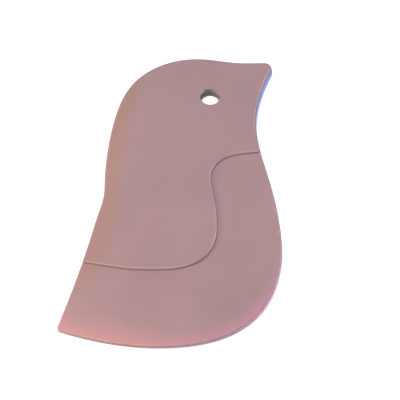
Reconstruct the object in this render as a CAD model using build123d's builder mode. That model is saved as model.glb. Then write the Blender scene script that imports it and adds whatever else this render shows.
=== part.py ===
# Bowl scraper in the profile of a bird, in millimetres.
# It lies on its back: the front face looks up (+Z), the head points to +Y and the beak to +X.
# The origin is the middle of the footprint, on the surface that the scraper lies on.
# Two silicone skins meet at a parting plane and close over a thin stiffening plate.

import os
from math import cos, radians, sin, sqrt, tan

from build123d import *

# Nominal length and width of the scraper. The outline's shares are taken of their halves.
scraper_length = 126.1
scraper_width = 80.3

# Heights of the layers, from the surface up: back skin, front skin, and the step up to the grip.
parting_height = 1.75
front_thickness = 1.75
step_height = 1.0

# The front skin's wall leans inwards by this angle, in degrees, from the parting plane up.
wall_draft = 7.0

# Blade: both faces curve together over this run, down to the rim.
rim_thickness = 2.0
blade_run = 45.0
blade_turn = 15.0

# Roundings of the outline's two tips, seen from above.
beak_radius = 2.85
tail_radius = 1.6

# Hanging hole, where the eye is.
hole_diameter = 7.5
hole_ledge = 0.35
hole_edge_radius = 0.3

# Edge roundings.
back_edge_radius = 0.4
grip_edge_radius = 0.9
step_edge_share = 0.7
rim_edge_share = 0.5

# Stiffening plate and the silicone studs that lock it between the skins.
core_thickness = 0.8
key_diameter = 5.0

# How far a cut runs past the material.
overrun = 5.0

# Points on each curve that is worked out inside the footprint.
inner_steps = 24

# Outline points, as shares of the scraper's half width and half length.
# The back of the bird runs from the beak over the head, down to the rump and on to the tail.
back_shares = [
    (1.003, 0.968),
    (0.784, 0.969),
    (0.644, 0.969),
    (0.251, 1.000),
    (-0.122, 0.952),
    (-0.408, 0.803),
    (-0.567, 0.547),
    (-0.629, 0.284),
    (-0.643, 0.077),
    (-0.646, -0.018),
    (-0.686, -0.136),
    (-0.766, -0.350),
    (-0.901, -0.668),
    (-1.013, -0.894),
]
# The scraping rim runs from the tail round the belly and up the neck, back to the beak.
belly_shares = [
    (-0.696, -0.954),
    (-0.295, -0.996),
    (0.096, -0.994),
    (0.456, -0.941),
    (0.757, -0.811),
    (0.966, -0.560),
    (0.988, -0.229),
    (0.907, 0.087),
    (0.821, 0.324),
    (0.795, 0.480),
    (0.860, 0.744),
]
# The wing line is the step between the grip and the blade. It starts and ends outside the outline.
wing_shares = [
    (-1.062, -0.461),
    (-0.737, -0.480),
    (-0.452, -0.513),
    (-0.126, -0.523),
    (0.111, -0.506),
    (0.305, -0.435),
    (0.406, -0.298),
    (0.409, -0.158),
    (0.377, 0.005),
    (0.364, 0.140),
    (0.448, 0.227),
    (0.652, 0.278),
    (1.050, 0.317),
]
# The stiffening plate follows the head and the wing, well inside the grip.
core_shares = [
    (0.77, 0.85),
    (0.45, 0.90),
    (0.05, 0.88),
    (-0.30, 0.70),
    (-0.49, 0.42),
    (-0.52, 0.05),
    (-0.62, -0.30),
    (-0.35, -0.43),
    (0.08, -0.41),
    (0.27, -0.24),
    (0.25, 0.10),
    (0.45, 0.33),
    (0.66, 0.50),
]
hole_share = (0.350, 0.699)
key_shares = [
    (0.02, 0.66),
    (-0.27, 0.36),
    (0.08, 0.28),
    (-0.30, -0.02),
    (0.04, -0.10),
    (-0.42, -0.30),
    (-0.08, -0.34),
]

# Sizes that follow from the ones above.
half_width = scraper_width / 2
half_length = scraper_length / 2
blade_height = parting_height + front_thickness
grip_height = blade_height + step_height
rim_half = rim_thickness / 2
lean = (grip_height - parting_height) * tan(radians(wall_draft))
step_edge_radius = step_edge_share * step_height
rim_edge_radius = rim_edge_share * rim_half
core_bottom = parting_height - core_thickness
back_hole_diameter = hole_diameter - 2 * hole_ledge


def placed(shares):
    return [(x * half_width, y * half_length) for x, y in shares]


# Footprint of the scraper as a prism, up to the parting plane. Its two tips are still sharp.
with BuildPart() as footprint:
    with BuildSketch():
        with BuildLine():
            back_line = Spline(*placed(back_shares))
            belly_line = Spline(back_line @ 1, *placed(belly_shares), back_line @ 0)
        make_face()
    extrude(amount=parting_height)


def inner_tip(tip, one_side, other_side):
    """The point inside a sharp tip, by the wall's lean. The sides are directions that lead away from it."""
    return tip + (one_side + other_side) * (lean / one_side.cross(other_side).length)


def inner_line(line, start, end):
    """A curve inside a line of the footprint, by the wall's lean, between two inner tips."""
    places = [n / inner_steps for n in range(1, inner_steps)]
    return Spline(start, *[line @ t + (line % t).rotate(Axis.Z, 90) * lean for t in places], end)


# Plan view of everything on the blade's side of the wing line.
with BuildSketch() as blade_side:
    with BuildLine():
        wing_line = Spline(*placed(wing_shares))
        low = -half_length - overrun
        Polyline(wing_line @ 1, ((wing_line @ 1).X, low), ((wing_line @ 0).X, low), wing_line @ 0)
    make_face()

# The blade thins along this direction in plan, towards the tail and the bottom rim.
fall = Vector(-sin(radians(blade_turn)), -cos(radians(blade_turn)), 0)
fall_plane = Plane(origin=(0, 0, 0), x_dir=fall, z_dir=fall.cross(Vector(0, 0, 1)))
fall_start = half_length - blade_run


def falling_profile(level, side):
    """What one face of the blade leaves free, in the fall plane. Side is 1 above the face, -1 below."""
    drop = abs(level - parting_height) - rim_half
    radius = (blade_run**2 + drop**2) / (2 * drop)
    run = blade_run + overrun
    run_drop = radius - sqrt(radius**2 - run**2)
    free = level + side * (step_height + overrun)
    with BuildSketch(fall_plane) as profile:
        with BuildLine():
            flat = Line((-scraper_length, level), (fall_start, level))
            face = TangentArc(flat @ 1, (fall_start + run, level - side * run_drop), tangent=(1, 0))
            Polyline(face @ 1, (fall_start + run, free), (-scraper_length, free), flat @ 0)
        make_face()
    return profile.sketch


# Stiffening plate, level with the parting plane on top. Its hole stands a ledge inside the front skin's.
with BuildPart() as stiffener_core:
    with BuildSketch(Plane.XY.offset(core_bottom)):
        with BuildLine():
            Spline(*placed(core_shares), periodic=True)
        make_face()
        with Locations(placed(key_shares)):
            Circle(key_diameter / 2, mode=Mode.SUBTRACT)
        with Locations(placed([hole_share])):
            Circle(back_hole_diameter / 2, mode=Mode.SUBTRACT)
    extrude(amount=core_thickness)
stiffener_core.part.label = "stiffener_core"

# Back skin: it has the footprint's full size up to the parting plane, and holds the plate in a pocket.
# The studs left in the pocket pass through the plate and meet the front skin.
with BuildPart() as back_skin:
    add(footprint.part)
    fillet(back_skin.edges().filter_by(Axis.Z).sort_by(Axis.Y)[-1], beak_radius)
    fillet(back_skin.edges().filter_by(Axis.Z).sort_by(Axis.Y)[0], tail_radius)
    extrude(falling_profile(0, -1), amount=scraper_length, both=True, mode=Mode.SUBTRACT)
    back_rim = back_skin.edges() - back_skin.faces().sort_by(Axis.Z)[-1].edges()
    fillet(back_rim.filter_by(GeomType.LINE, reverse=True), back_edge_radius)
    add(stiffener_core.part, mode=Mode.SUBTRACT)
    with Locations(placed([hole_share])):
        Hole(back_hole_diameter / 2)
    fillet(back_skin.faces().sort_by(Axis.Z)[0].inner_wires()[0].edges(), hole_edge_radius)
back_skin.part.label = "back_skin"

# Front skin before its step and its blade are cut. Its walls lean in from the footprint.
with BuildPart() as front_blank:
    with BuildSketch(Plane.XY.offset(parting_height)):
        with BuildLine():
            add(back_line)
            add(belly_line)
        make_face()
    with BuildSketch(Plane.XY.offset(grip_height)):
        with BuildLine():
            top_beak = inner_tip(back_line @ 0, back_line % 0, (belly_line % 1) * -1)
            top_tail = inner_tip(back_line @ 1, (back_line % 1) * -1, belly_line % 0)
            inner_line(back_line, top_beak, top_tail)
            inner_line(belly_line, top_tail, top_beak)
        make_face()
    loft(ruled=True)
    fillet(front_blank.edges().group_by(Axis.Z)[1].sort_by(Axis.Y)[-1], beak_radius)
    fillet(front_blank.edges().group_by(Axis.Z)[1].sort_by(Axis.Y)[0], tail_radius)

# Raised head and wing, up to the step of the wing line.
with BuildPart() as grip:
    add(front_blank.part)
    fillet(grip.faces().sort_by(Axis.Z)[-1].edges(), grip_edge_radius)
    extrude(blade_side.sketch, amount=grip_height + overrun, mode=Mode.SUBTRACT)
    fillet(grip.faces().sort_by(Axis.Z)[-1].edges().sort_by(Axis.Y)[0], step_edge_radius)

# Front skin: the blade's front face and rim, with the grip standing on it.
with BuildPart() as front_skin:
    add(front_blank.part)
    extrude(falling_profile(blade_height, 1), amount=scraper_length, both=True, mode=Mode.SUBTRACT)
    blade_faces = front_skin.faces().sort_by(Axis.Z)[-2:]
    fillet(blade_faces.edges().filter_by(GeomType.LINE, reverse=True), rim_edge_radius)
    add(grip.part)
    with Locations(placed([hole_share])):
        Hole(hole_diameter / 2)
    fillet(front_skin.faces().sort_by(Axis.Z)[-1].inner_wires()[0].edges(), hole_edge_radius)
front_skin.part.label = "front_skin"

os.makedirs("parts", exist_ok=True)
for part in (front_skin.part, back_skin.part, stiffener_core.part):
    export_step(part, f"parts/{part.label}.step")
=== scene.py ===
# Looks, light and camera for the bird-profile bowl scraper. All lengths are in metres.
from math import cos, radians, sin

import bpy
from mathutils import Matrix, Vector

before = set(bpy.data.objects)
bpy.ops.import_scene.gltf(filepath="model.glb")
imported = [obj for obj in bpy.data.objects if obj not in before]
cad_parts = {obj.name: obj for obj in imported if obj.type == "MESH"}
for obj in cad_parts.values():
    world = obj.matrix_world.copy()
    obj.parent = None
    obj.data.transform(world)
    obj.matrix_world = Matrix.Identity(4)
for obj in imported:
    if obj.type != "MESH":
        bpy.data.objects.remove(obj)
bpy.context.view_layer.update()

MM = 0.001

# The photo's camera: it looks down at the front face from the tail's side.
AIM = Vector((10.12, -3.59, 4.60)) * MM
TILT = radians(32.6)
DISTANCE = 0.55
PIXEL = 0.37 * MM
FRAME_PIXELS = 400
SENSOR_WIDTH = 36.0
CLIP_NEAR = 0.01
CLIP_FAR = 10.0

# Blade: its faces fall towards the tail along this direction, from this distance off the origin.
FALL_TURN = radians(15)
FALL_START = 18.1 * MM
FALL_RUN = 45.0 * MM

# The belly's rim follows this circle, and light comes through it over this width: there a pink glow of that
# light is painted into the colour, and the subsurface weight rises.
BELLY_CENTRE = (0.9 * MM, -21.4 * MM)
BELLY_RADIUS = 42.0 * MM
RIM_GLOW = 6.4 * MM

# How sharply the painted pink glow, and the subsurface weight, rise towards the tail and towards the
# belly's rim.
TAIL_POWER = 8.0
RIM_POWER = 1.5

# The rim's painted pink glow, and its added subsurface weight, are gone at the first place and full at the
# second one, along X and along Y.
RIM_FADE_X = (-30 * MM, 0.0)
RIM_FADE_Y = (5 * MM, -35 * MM)

# Colours, linear.
MAUVE = (0.353, 0.227, 0.221)
PALE_MAUVE = (0.455, 0.287, 0.273)
# Painted light: pink glows of the light that comes through the thin tail and through the thin rim of the
# belly.
PAINTED_TAIL_GLOW = (0.59, 0.325, 0.31)
PAINTED_RIM_GLOW = (0.585, 0.30, 0.345)
# Painted shade: the nylon's colours are darker than natural nylon, for the shade inside the hanging hole.
SHADE_DARKENED_NYLON = (0.17, 0.16, 0.155)
PALE_SHADE_DARKENED_NYLON = (0.20, 0.19, 0.185)
FLOOR_COLOUR = (0.45, 0.45, 0.45)
SKY = (0.60, 0.53, 0.47)
WHITE = (1.0, 1.0, 1.0)
BACKDROP = (0.8, 0.8, 0.8)

# Silicone: its gloss, how far light spreads in it, and how much its thick and its thin parts let in.
SILICONE_IOR = 1.45
SILICONE_ROUGHNESS = 0.03
SPREAD_BY_COLOUR = (1.0, 0.45, 0.4)
SPREAD = 1.2 * MM
THICK_GLOW = 0.15
THIN_GLOW = 0.75
NYLON_ROUGHNESS = 0.45

# Noise of the pigment's clouds and of the fine grain, and the bumps that the grain gives.
CLOUDS = {"Scale": 38.0, "Detail": 3.0, "Roughness": 0.55}
SILICONE_GRAIN = {"Scale": 900.0, "Detail": 2.0, "Roughness": 0.6}
SILICONE_BUMP = {"Strength": 0.05, "Distance": 0.0006 * MM}
NYLON_GRAIN = {"Scale": 1400.0, "Detail": 3.0, "Roughness": 0.6}
NYLON_BUMP = {"Strength": 0.2, "Distance": 0.02 * MM}

# Floor: half its side, how far it lies under the scraper, and how bright it looks to the camera.
FLOOR_HALF = 3.0
FLOOR_DROP = 0.05 * MM
FLOOR_GLOW = 0.88

# Levels of the world: for the light that falls on things, and for what is seen of it.
WORLD_LEVEL = 0.18
SEEN_LEVEL = 1.0


class Nodes:
    """The node tree of a material or a world, emptied, with helpers that add nodes to it."""

    def __init__(self, owner):
        owner.use_nodes = True
        self.tree = owner.node_tree
        self.tree.nodes.clear()
        self.link = self.tree.links.new

    def add(self, kind, **settings):
        """Adds a node. Each setting is a socket's value or a property of the node."""
        node = self.tree.nodes.new(kind)
        for key, value in settings.items():
            if key in node.inputs:
                node.inputs[key].default_value = value
            else:
                setattr(node, key, value)
        return node

    def place(self):
        """The place of a point in its object's own coordinates."""
        return self.add("ShaderNodeTexCoord").outputs["Object"]

    def split(self, place):
        """X and Y of a place."""
        node = self.add("ShaderNodeSeparateXYZ")
        self.link(place, node.inputs[0])
        return node.outputs["X"], node.outputs["Y"]

    def math(self, operation, *values, clamp=False):
        """Works out one value from sockets and numbers."""
        node = self.add("ShaderNodeMath", operation=operation, use_clamp=clamp)
        for socket, value in zip(node.inputs, values):
            if isinstance(value, bpy.types.NodeSocket):
                self.link(value, socket)
            else:
                socket.default_value = value
        return node.outputs[0]

    def ramp(self, value, gone, full):
        """A smooth step of a value, from 0 at the first number to 1 at the second one."""
        node = self.add("ShaderNodeMapRange", interpolation_type="SMOOTHSTEP")
        node.inputs["From Min"].default_value = gone
        node.inputs["From Max"].default_value = full
        self.link(value, node.inputs["Value"])
        return node.outputs[0]

    def noise(self, place, settings):
        """A noise texture over the object."""
        node = self.add("ShaderNodeTexNoise", **settings)
        self.link(place, node.inputs["Vector"])
        return node.outputs["Fac"]

    def bump(self, height, settings):
        """A normal that is roughened by a height."""
        node = self.add("ShaderNodeBump", **settings)
        self.link(height, node.inputs["Height"])
        return node.outputs[0]

    def mix_colours(self, share, first, second):
        """Mixes two colours, each a socket or a triple. A share of 0 gives the first one."""
        node = self.add("ShaderNodeMix", data_type="RGBA")
        for name, value in (("Factor", share), ("A", first), ("B", second)):
            socket = next(s for s in node.inputs if s.name == name and s.enabled)
            if isinstance(value, bpy.types.NodeSocket):
                self.link(value, socket)
            else:
                socket.default_value = (*value, 1)
        return next(s for s in node.outputs if s.enabled)

    def mix_shaders(self, share, first, second):
        """Mixes two shader nodes. A share of 0 gives the first one."""
        node = self.add("ShaderNodeMixShader")
        for source, socket in zip((share, first.outputs[0], second.outputs[0]), node.inputs):
            self.link(source, socket)
        return node

    def show(self, shader, kind="ShaderNodeOutputMaterial"):
        """Sends a shader node to the output."""
        self.link(shader.outputs[0], self.add(kind).inputs["Surface"])


def new_material(name):
    """A material and its emptied node tree."""
    material = bpy.data.materials.new(name)
    return material, Nodes(material)


def tail_thinness(nodes, x, y):
    """How thin the blade is along its fall: 0 where it starts to fall, 1 at the end. It sets where a pink
    glow of light is painted.
    """
    along_x = nodes.math("MULTIPLY", x, -sin(FALL_TURN) / FALL_RUN)
    along_y = nodes.math("MULTIPLY", y, -cos(FALL_TURN) / FALL_RUN)
    along = nodes.math("ADD", along_x, along_y)
    along = nodes.math("SUBTRACT", along, FALL_START / FALL_RUN, clamp=True)
    return nodes.math("POWER", along, TAIL_POWER)


def rim_thinness(nodes, x, y):
    """How near a point lies to the belly's rim, which is nearly round: 1 at the rim, 0 inside the width of
    its painted glow.
    """
    off_x = nodes.math("SUBTRACT", x, BELLY_CENTRE[0])
    off_y = nodes.math("SUBTRACT", y, BELLY_CENTRE[1])
    squares = [nodes.math("MULTIPLY", value, value) for value in (off_x, off_y)]
    radius = nodes.math("SQRT", nodes.math("ADD", *squares))
    near = nodes.math("SUBTRACT", radius, BELLY_RADIUS - RIM_GLOW)
    near = nodes.math("DIVIDE", near, RIM_GLOW, clamp=True)
    near = nodes.math("POWER", near, RIM_POWER)
    near = nodes.math("MULTIPLY", near, nodes.ramp(x, *RIM_FADE_X))
    return nodes.math("MULTIPLY", near, nodes.ramp(y, *RIM_FADE_Y))


def silicone(name):
    """Glossy mauve silicone. Where the blade and its rim are thin, a pink glow of the light that comes
    through is painted into the colour, and the subsurface weight rises too.
    """
    material, nodes = new_material(name)
    place = nodes.place()
    x, y = nodes.split(place)
    tail = tail_thinness(nodes, x, y)
    rim = rim_thinness(nodes, x, y)

    # The clouds of the pigment first, then the painted pink glows of light through the thin parts.
    colour = nodes.mix_colours(nodes.noise(place, CLOUDS), MAUVE, PALE_MAUVE)
    colour = nodes.mix_colours(rim, colour, PAINTED_RIM_GLOW)
    colour = nodes.mix_colours(tail, colour, PAINTED_TAIL_GLOW)

    glow = nodes.add("ShaderNodeMapRange")
    glow.inputs["To Min"].default_value = THICK_GLOW
    glow.inputs["To Max"].default_value = THIN_GLOW
    nodes.link(nodes.math("MAXIMUM", tail, rim), glow.inputs["Value"])

    shader = nodes.add("ShaderNodeBsdfPrincipled")
    shader.inputs["IOR"].default_value = SILICONE_IOR
    shader.inputs["Roughness"].default_value = SILICONE_ROUGHNESS
    shader.inputs["Subsurface Radius"].default_value = SPREAD_BY_COLOUR
    shader.inputs["Subsurface Scale"].default_value = SPREAD
    nodes.link(glow.outputs[0], shader.inputs["Subsurface Weight"])
    nodes.link(colour, shader.inputs["Base Color"])
    nodes.link(nodes.bump(nodes.noise(place, SILICONE_GRAIN), SILICONE_BUMP), shader.inputs["Normal"])
    nodes.show(shader)
    return material


def nylon(name):
    """Nylon of the stiffening plate, seen as a ring in the hanging hole. Its colour is darker than natural
    nylon's: painted shade of the hole.
    """
    material, nodes = new_material(name)
    grain = nodes.noise(nodes.place(), NYLON_GRAIN)
    shader = nodes.add("ShaderNodeBsdfPrincipled")
    shader.inputs["Roughness"].default_value = NYLON_ROUGHNESS
    nodes.link(nodes.mix_colours(grain, SHADE_DARKENED_NYLON, PALE_SHADE_DARKENED_NYLON), shader.inputs["Base Color"])
    nodes.link(nodes.bump(grain, NYLON_BUMP), shader.inputs["Normal"])
    nodes.show(shader)
    return material


def dress(node, material):
    """Gives a carried-over node its finish."""
    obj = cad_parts[node]
    for slot in obj.material_slots:
        slot.material = material


def rectangle(left, right, low, high):
    """Corners of a card between two places along X and two along Y."""
    return [(left, low), (right, low), (right, high), (left, high)]


def plane(name, corners, height):
    """A flat object with these corners, at one height."""
    mesh = bpy.data.meshes.new(name)
    mesh.from_pydata([(x, y, height) for x, y in corners], [], [tuple(range(len(corners)))])
    obj = bpy.data.objects.new(name, mesh)
    bpy.context.scene.collection.objects.link(obj)
    return obj


def white_floor():
    """A pale floor that the camera and reflections see as white, with a faint shadow under the object."""
    floor = plane("floor", rectangle(-FLOOR_HALF, FLOOR_HALF, -FLOOR_HALF, FLOOR_HALF), -FLOOR_DROP)
    material, nodes = new_material("floor_white")
    path = nodes.add("ShaderNodeLightPath")
    seen = nodes.math("MAXIMUM", path.outputs["Is Camera Ray"], path.outputs["Is Transmission Ray"])
    seen = nodes.math("MAXIMUM", seen, path.outputs["Is Glossy Ray"])
    shine = nodes.add("ShaderNodeEmission")
    nodes.link(nodes.math("MULTIPLY", seen, FLOOR_GLOW), shine.inputs["Strength"])
    matte = nodes.add("ShaderNodeBsdfDiffuse", Color=(*FLOOR_COLOUR, 1))
    both = nodes.add("ShaderNodeAddShader")
    nodes.link(matte.outputs[0], both.inputs[0])
    nodes.link(shine.outputs[0], both.inputs[1])
    nodes.show(both)
    floor.data.materials.append(material)


def faded(nodes, shader, end_fades, side_fade):
    """Makes a card's glow fade out. A fade is the place where it is gone and the place where it is full."""
    x, y = nodes.split(nodes.place())
    levels = [nodes.ramp(y, *fade) for fade in end_fades]
    if side_fade:
        levels.append(nodes.ramp(nodes.math("ABSOLUTE", x), *side_fade))
    level = levels[0]
    for other in levels[1:]:
        level = nodes.math("MULTIPLY", level, other)
    return nodes.mix_shaders(level, nodes.add("ShaderNodeBsdfTransparent"), shader)


def card(name, corners, height, colour, strength=1.0, end_fades=(), side_fade=None):
    """A glowing card that shows only in reflections. It may fade along Y, and outwards from X = 0."""
    obj = plane(name, corners, height)
    material, nodes = new_material(name)
    shader = nodes.add("ShaderNodeEmission", Color=(*colour, 1), Strength=strength)
    if end_fades:
        shader = faded(nodes, shader, end_fades, side_fade)
    nodes.show(shader)
    obj.data.materials.append(material)
    obj.visible_camera = False
    obj.visible_diffuse = False
    obj.visible_shadow = False
    obj.visible_transmission = False
    return obj


def aim(obj, place):
    """Puts a card or a lamp at a place and turns its face to the origin."""
    obj.location = place
    obj.rotation_euler = (-Vector(place)).to_track_quat("-Z", "Y").to_euler()


def area_lamp(name, place, size, colour, watts):
    """A soft round lamp aimed at the object. It doesn't show in reflections."""
    data = bpy.data.lights.new(name, "AREA")
    data.shape = "DISK"
    data.size = size
    data.color = colour
    data.energy = watts
    lamp = bpy.data.objects.new(name, data)
    aim(lamp, place)
    lamp.visible_glossy = False
    bpy.context.scene.collection.objects.link(lamp)


def studio_world():
    """Light grey to the camera, a calm warm grey in reflections, and plain dim light for the rest."""
    world = bpy.data.worlds.new("studio")
    bpy.context.scene.world = world
    nodes = Nodes(world)
    path = nodes.add("ShaderNodeLightPath")
    plain = nodes.add("ShaderNodeBackground", Color=(*WHITE, 1), Strength=WORLD_LEVEL)
    sky = nodes.add("ShaderNodeBackground", Color=(*SKY, 1), Strength=SEEN_LEVEL)
    backdrop = nodes.add("ShaderNodeBackground", Color=(*BACKDROP, 1), Strength=SEEN_LEVEL)
    in_gloss = nodes.mix_shaders(path.outputs["Is Glossy Ray"], plain, sky)
    in_view = nodes.mix_shaders(path.outputs["Is Camera Ray"], in_gloss, backdrop)
    nodes.show(in_view, "ShaderNodeOutputWorld")


def photo_camera():
    """The photo's view, for a square frame."""
    data = bpy.data.cameras.new("photo_camera")
    data.sensor_width = SENSOR_WIDTH
    data.lens = SENSOR_WIDTH * DISTANCE / (FRAME_PIXELS * PIXEL)
    data.clip_start = CLIP_NEAR
    data.clip_end = CLIP_FAR
    camera = bpy.data.objects.new("photo_camera", data)
    camera.location = AIM + DISTANCE * Vector((0, -sin(TILT), cos(TILT)))
    camera.rotation_euler = (TILT, 0, 0)
    bpy.context.scene.collection.objects.link(camera)
    bpy.context.scene.camera = camera


mauve_silicone = silicone("mauve_silicone")
dress("front_skin", mauve_silicone)
dress("back_skin", mauve_silicone)
dress("stiffener_core", nylon("nylon_with_painted_shade"))

white_floor()
studio_world()

# Height of the cards that hang over the scraper, and of those that lie beside it on the floor.
HANGING_HEIGHT = 0.6
LYING_HEIGHT = 0.1 * MM

# Soft box behind the head. Its left edge shows as a bent line down the left of the face.
BOX_EDGE = [
    (0.0, 0.70),
    (-0.030, 0.56),
    (-0.053, 0.45),
    (-0.060, 0.36),
    (-0.067, 0.32),
    (-0.085, 0.265),
    (-0.098, 0.24),
    (-0.11, 0.05),
]
BOX_RIGHT = 0.24
BOX_LOW = 0.05
BOX_HIGH = 0.70
BOX_LOW_FADE = (BOX_LOW, 0.23)
BOX_COLOUR = (0.50, 0.95, 1.50)
card(
    "soft_box",
    BOX_EDGE + [(BOX_RIGHT, BOX_LOW), (BOX_RIGHT, BOX_HIGH)],
    HANGING_HEIGHT,
    BOX_COLOUR,
    end_fades=[BOX_LOW_FADE, (BOX_HIGH, 0.57)],
    side_fade=(BOX_RIGHT, 0.12),
)

# Foot of the soft box. It widens the low end to the left, so that the line ends there.
FOOT_POINTS = 4
FOOT_LEFT = -0.25
FOOT_HIGH = 0.32
card(
    "box_foot",
    BOX_EDGE[-FOOT_POINTS:] + [(FOOT_LEFT, BOX_LOW), (FOOT_LEFT, FOOT_HIGH)],
    HANGING_HEIGHT,
    BOX_COLOUR,
    end_fades=[(0.28, 0.235), BOX_LOW_FADE],
)

# Warm ceiling over the soft box, seen beside its left edge.
CEILING_GAP = 2 * MM
CEILING_HALF = 0.30
CEILING_LOW = 0.0
CEILING_HIGH = 0.75
card(
    "ceiling",
    rectangle(-CEILING_HALF, CEILING_HALF, CEILING_LOW, CEILING_HIGH),
    HANGING_HEIGHT + CEILING_GAP,
    colour=(0.80, 0.60, 0.15),
    end_fades=[(CEILING_LOW, 0.20), (CEILING_HIGH, 0.60)],
    side_fade=(CEILING_HALF, 0.15),
)

# Overhead light, which draws the light line along the edges that face the tail.
TOP_HALF = 0.42
TOP_LOW = -0.75
TOP_HIGH = 0.06
card(
    "top_light",
    rectangle(-TOP_HALF, TOP_HALF, TOP_LOW, TOP_HIGH),
    HANGING_HEIGHT,
    colour=WHITE,
    strength=3.8,
    end_fades=[(TOP_HIGH, -0.06), (TOP_LOW, -0.45)],
    side_fade=(TOP_HALF, 0.12),
)

# Cool window, behind on the right, soft at its edges. It lights the edges that face the beak's side.
WINDOW_HALF = 0.32
WINDOW_PLACE = (0.41, 0.33, 0.60)
window = card(
    "window",
    rectangle(-WINDOW_HALF, WINDOW_HALF, -WINDOW_HALF, WINDOW_HALF),
    0.0,
    colour=(0.85, 0.87, 1.15),
    strength=7.0,
    end_fades=[(-0.26, 0.02), (0.26, 0.12)],
    side_fade=(WINDOW_HALF, 0.12),
)
aim(window, WINDOW_PLACE)

# Cool card lying beside the neck and the belly. It fades out along the belly.
COOL_CARD = [
    (0.0, -0.20),
    (0.30, -0.20),
    (0.30, 0.10),
    (0.030, 0.10),
    (0.030, 0.0),
    (0.0, -0.03),
]
card("cool_card", COOL_CARD, LYING_HEIGHT, colour=(0.55, 0.88, 2.1), end_fades=[(-0.08, 0.01)])

# Pale card lying over the cool one, in front on the right. It brightens the wall of the belly's rim.
PALE_CARD_GAP = 0.05 * MM
PALE_CARD = [
    (-0.01, -0.30),
    (0.30, -0.30),
    (0.30, 0.0),
    (0.02, 0.0),
    (-0.01, -0.03),
]
PALE_CARD_HEIGHT = LYING_HEIGHT + PALE_CARD_GAP
card("pale_card", PALE_CARD, PALE_CARD_HEIGHT, colour=(2.0, 1.6, 2.3), end_fades=[(-0.01, -0.04)])

# Dark card lying behind the head.
DARK_CARD = rectangle(-0.30, 0.30, 0.07, 0.60)
card("dark_card", DARK_CARD, LYING_HEIGHT, colour=(0.2, 0.2, 0.2))

# Lamps: where each one hangs, how wide it is, its colour and its power.
LAMPS = {
    "top_lamp": {"place": (-0.20, -0.02, 0.78), "size": 0.50, "colour": (1.0, 0.93, 0.915), "watts": 4.75},
    "front_lamp": {"place": (0.05, -0.40, 0.022), "size": 0.04, "colour": (0.85, 1.0, 1.0), "watts": 0.21},
    "left_lamp": {"place": (-0.24, -0.06, 0.12), "size": 0.08, "colour": (1.0, 0.74, 0.66), "watts": 0.36},
    "right_lamp": {"place": (0.30, 0.10, 0.06), "size": 0.08, "colour": (0.5, 0.72, 1.0), "watts": 0.45},
}
for lamp_name, lamp_settings in LAMPS.items():
    area_lamp(lamp_name, **lamp_settings)

photo_camera()
bpy.context.scene.view_settings.view_transform = "Standard"
